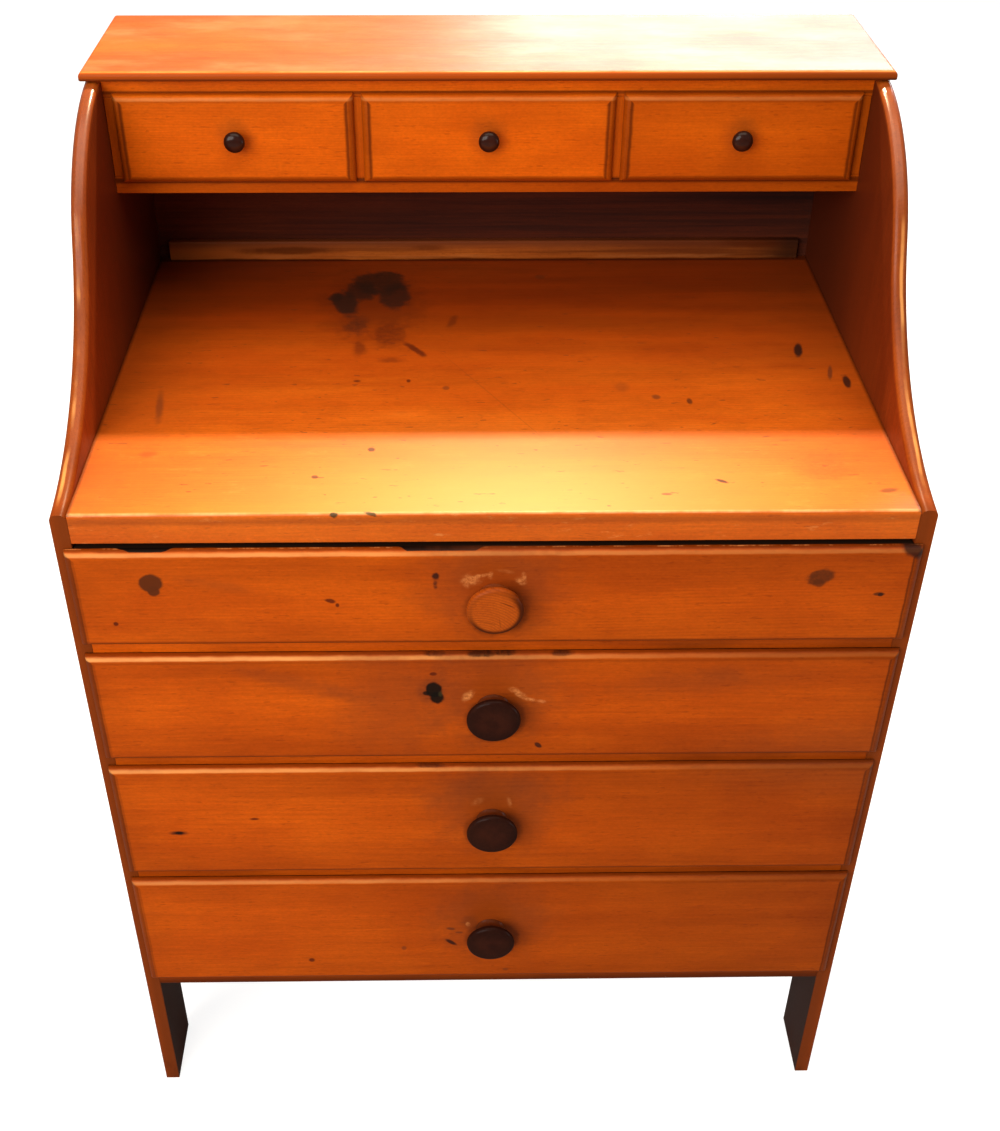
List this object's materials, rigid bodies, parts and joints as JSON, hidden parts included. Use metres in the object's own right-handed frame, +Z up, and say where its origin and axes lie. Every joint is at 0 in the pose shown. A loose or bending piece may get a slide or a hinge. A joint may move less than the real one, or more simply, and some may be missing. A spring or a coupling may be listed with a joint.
{
  "type": "sewing desk",
  "caption": "Shaker-style pine sewing desk: graduated lipped drawers under a fixed worktop, with a raised gallery of small drawers between ogee-cut sides.",
  "frame": {"origin": "on the floor, in the middle of the overall width and depth", "axes": "+Z up, +Y to the back of the desk, +X to the right of someone sitting at it"},
  "size_m": [0.717, 0.52, 1.003],
  "materials": {
    "case_pine": "aged amber shellac, glossy",
    "drawer_front_pine": "aged orange shellac, satin",
    "secondary_pine": "bare, darkened with age",
    "dark_knob": "dark stain, polished by handling",
    "natural_knob": "shellac, worn"
  },
  "bodies": {
    "case": {"back_boards": "secondary_pine", "back_ledge": "case_pine", "case_bottom": "case_pine", "drawer_rail_1": "case_pine", "drawer_rail_2": "case_pine", "drawer_rail_3": "case_pine", "drawer_runners": "secondary_pine", "gallery_divider_left": "case_pine", "gallery_divider_right": "case_pine", "gallery_end_left": "case_pine", "gallery_end_right": "case_pine", "gallery_floor": "case_pine", "gallery_top_rail": "case_pine", "left_side": "case_pine", "right_side": "case_pine", "top_board": "case_pine", "worktop": "case_pine"},
    "drawer_1": {"drawer_1_back": "secondary_pine", "drawer_1_bottom": "secondary_pine", "drawer_1_front": "drawer_front_pine", "drawer_1_knob": "natural_knob", "drawer_1_left_side": "secondary_pine", "drawer_1_right_side": "secondary_pine"},
    "drawer_2": {"drawer_2_back": "secondary_pine", "drawer_2_bottom": "secondary_pine", "drawer_2_front": "drawer_front_pine", "drawer_2_knob": "dark_knob", "drawer_2_left_side": "secondary_pine", "drawer_2_right_side": "secondary_pine"},
    "drawer_3": {"drawer_3_back": "secondary_pine", "drawer_3_bottom": "secondary_pine", "drawer_3_front": "drawer_front_pine", "drawer_3_knob": "dark_knob", "drawer_3_left_side": "secondary_pine", "drawer_3_right_side": "secondary_pine"},
    "drawer_4": {"drawer_4_back": "secondary_pine", "drawer_4_bottom": "secondary_pine", "drawer_4_front": "drawer_front_pine", "drawer_4_knob": "dark_knob", "drawer_4_left_side": "secondary_pine", "drawer_4_right_side": "secondary_pine"},
    "gallery_drawer_left": {"gallery_drawer_left_back": "secondary_pine", "gallery_drawer_left_bottom": "secondary_pine", "gallery_drawer_left_front": "drawer_front_pine", "gallery_drawer_left_knob": "dark_knob", "gallery_drawer_left_left_side": "secondary_pine", "gallery_drawer_left_right_side": "secondary_pine"},
    "gallery_drawer_centre": {"gallery_drawer_centre_back": "secondary_pine", "gallery_drawer_centre_bottom": "secondary_pine", "gallery_drawer_centre_front": "drawer_front_pine", "gallery_drawer_centre_knob": "dark_knob", "gallery_drawer_centre_left_side": "secondary_pine", "gallery_drawer_centre_right_side": "secondary_pine"},
    "gallery_drawer_right": {"gallery_drawer_right_back": "secondary_pine", "gallery_drawer_right_bottom": "secondary_pine", "gallery_drawer_right_front": "drawer_front_pine", "gallery_drawer_right_knob": "dark_knob", "gallery_drawer_right_left_side": "secondary_pine", "gallery_drawer_right_right_side": "secondary_pine"}
  },
  "joints": [
    {"name": "drawer_1_slide", "type": "slide", "parent": "case", "child": "drawer_1", "axis": [0, -1, 0], "range_m": [0, 0.34]},
    {"name": "drawer_2_slide", "type": "slide", "parent": "case", "child": "drawer_2", "axis": [0, -1, 0], "range_m": [0, 0.34]},
    {"name": "drawer_3_slide", "type": "slide", "parent": "case", "child": "drawer_3", "axis": [0, -1, 0], "range_m": [0, 0.34]},
    {"name": "drawer_4_slide", "type": "slide", "parent": "case", "child": "drawer_4", "axis": [0, -1, 0], "range_m": [0, 0.34]},
    {"name": "gallery_drawer_left_slide", "type": "slide", "parent": "case", "child": "gallery_drawer_left", "axis": [0, -1, 0], "range_m": [0, 0.1]},
    {"name": "gallery_drawer_centre_slide", "type": "slide", "parent": "case", "child": "gallery_drawer_centre", "axis": [0, -1, 0], "range_m": [0, 0.1]},
    {"name": "gallery_drawer_right_slide", "type": "slide", "parent": "case", "child": "gallery_drawer_right", "axis": [0, -1, 0], "range_m": [0, 0.1]}
  ]
}
